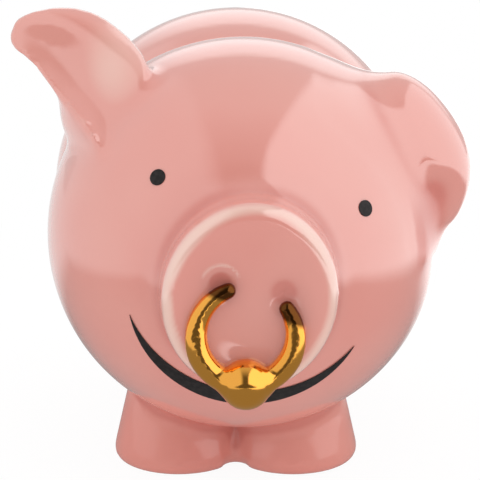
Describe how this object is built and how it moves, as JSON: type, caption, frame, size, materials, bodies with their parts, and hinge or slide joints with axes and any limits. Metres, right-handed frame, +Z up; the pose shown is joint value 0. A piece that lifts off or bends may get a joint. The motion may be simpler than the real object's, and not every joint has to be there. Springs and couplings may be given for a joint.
{
  "type": "pig money bank",
  "caption": "Round glazed ceramic pig with one raised and one flopped ear, a gold nose ring, a coin slot in its back and a rubber stopper in its belly.",
  "frame": {"origin": "centre of the bounding box in X and Y, on the plane that the four soles rest on", "axes": "+Z up, -Y is the way the snout points, +X is the pig's own left side, where the ear flops over"},
  "size_m": [0.1395, 0.2001, 0.1465],
  "materials": {
    "pink_glaze": "glossy",
    "gold_lustre": "polished",
    "black_enamel": "satin",
    "stopper_rubber": "matte"
  },
  "bodies": {
    "pig": {"head_shell": "pink_glaze", "body_shell": "pink_glaze", "snout": "pink_glaze", "raised_ear": "pink_glaze", "flopped_ear": "pink_glaze", "front_left_leg": "pink_glaze", "front_right_leg": "pink_glaze", "rear_left_leg": "pink_glaze", "rear_right_leg": "pink_glaze", "tail": "pink_glaze", "nose_ring": "gold_lustre", "left_eye": "black_enamel", "right_eye": "black_enamel", "smile": "black_enamel"},
    "stopper": {"stopper": "stopper_rubber"}
  },
  "joints": [
    {"name": "stopper_slide", "type": "slide", "parent": "pig", "child": "stopper", "axis": [0, -0.1346, -0.9909], "range_m": [0, 0.01]}
  ]
}
